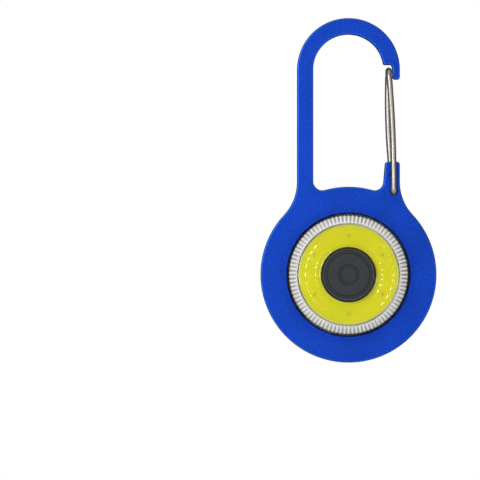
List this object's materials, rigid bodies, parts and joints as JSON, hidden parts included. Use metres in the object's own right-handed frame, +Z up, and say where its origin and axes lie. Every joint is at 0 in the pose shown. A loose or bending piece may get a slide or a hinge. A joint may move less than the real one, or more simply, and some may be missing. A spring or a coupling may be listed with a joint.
{
  "type": "keychain flashlight",
  "caption": "Flat carabiner keychain light: a ring-shaped lamp with a central push button in a one-piece aluminium hook frame with a sprung wire gate.",
  "frame": {"origin": "the inner top of the hook, at mid thickness of the frame, which is the point the light hangs from", "axes": "+Z up along the hook, +Y out of the back cover, so the lamp faces -Y; +X to the right seen from the lamp side, towards the gate"},
  "size_m": [0.0444, 0.0131, 0.0871],
  "materials": {
    "anodised_blue": "bead-blasted and anodised blue, satin",
    "spring_steel": "nickel-plated spring wire, satin",
    "plated_steel": "nickel-plated, semi-gloss",
    "clear_plastic": "clear moulded acrylic, polished face and ribbed edge",
    "gasket_rubber": "matt black rubber",
    "phosphor_gel": "yellow phosphor silicone, glossy",
    "white_silicone": "white silicone",
    "led_board_white": "white solder mask",
    "led_die": "die under phosphor",
    "white_plastic": "white moulded plastic",
    "lead_red": "red insulation",
    "lead_black": "black insulation",
    "button_grey": "dark grey moulded plastic, fine matt grain",
    "switch_black": "black moulded plastic",
    "board_green": "green solder mask",
    "component_black": "black moulded package",
    "component_tan": "ceramic body",
    "cell_steel": "bright nickel-plated can",
    "contact_brass": "stamped spring brass",
    "foam_grey": "closed-cell foam",
    "cover_black": "black moulded plastic, satin"
  },
  "bodies": {
    "light": {"carabiner_frame": "anodised_blue", "ribbed_lens": "clear_plastic", "lens_gasket": "gasket_rubber", "phosphor_ring": "phosphor_gel", "inner_dam": "white_silicone", "outer_dam": "white_silicone", "led_board": "led_board_white", "led_die_1": "led_die", "led_die_2": "led_die", "led_die_3": "led_die", "led_die_4": "led_die", "led_die_5": "led_die", "led_die_6": "led_die", "carrier_ring": "white_plastic", "lead_positive": "lead_red", "lead_negative": "lead_black", "switch_base": "switch_black", "switch_plate": "plated_steel", "switch_dome": "spring_steel", "main_board": "board_green", "driver_chip": "component_black", "led_resistor_1": "component_black", "led_resistor_2": "component_black", "filter_capacitor": "component_tan", "coin_cell_1": "cell_steel", "coin_cell_2": "cell_steel", "cell_holder": "white_plastic", "negative_contact": "contact_brass", "positive_contact": "contact_brass", "insulation_pad": "foam_grey", "back_cover": "cover_black", "cover_screw_1": "plated_steel", "cover_screw_2": "plated_steel", "cover_screw_3": "plated_steel"},
    "gate": {"gate_wire": "spring_steel"},
    "button": {"button_cap": "button_grey"},
    "stem": {"switch_stem": "switch_black"}
  },
  "joints": [
    {"name": "gate_hinge", "type": "hinge", "parent": "light", "child": "gate", "pos_m": [0.01105, 0, -0.03765], "axis": [0, -1, 0], "range_deg": [0, 22], "stiffness_Nm_per_rad": 0.25, "springref_deg": -5.73},
    {"name": "button_press", "type": "slide", "parent": "light", "child": "button", "axis": [0, 1, 0], "range_m": [0, 0.00025], "stiffness_N_per_m": 6000, "springref_m": -0.00005},
    {"name": "stem_press", "type": "slide", "parent": "light", "child": "stem", "axis": [0, 1, 0], "range_m": [0, 0.00025]}
  ],
  "couplings": [
    {"joint": "stem_press", "follows": "button_press", "ratio": 1}
  ]
}
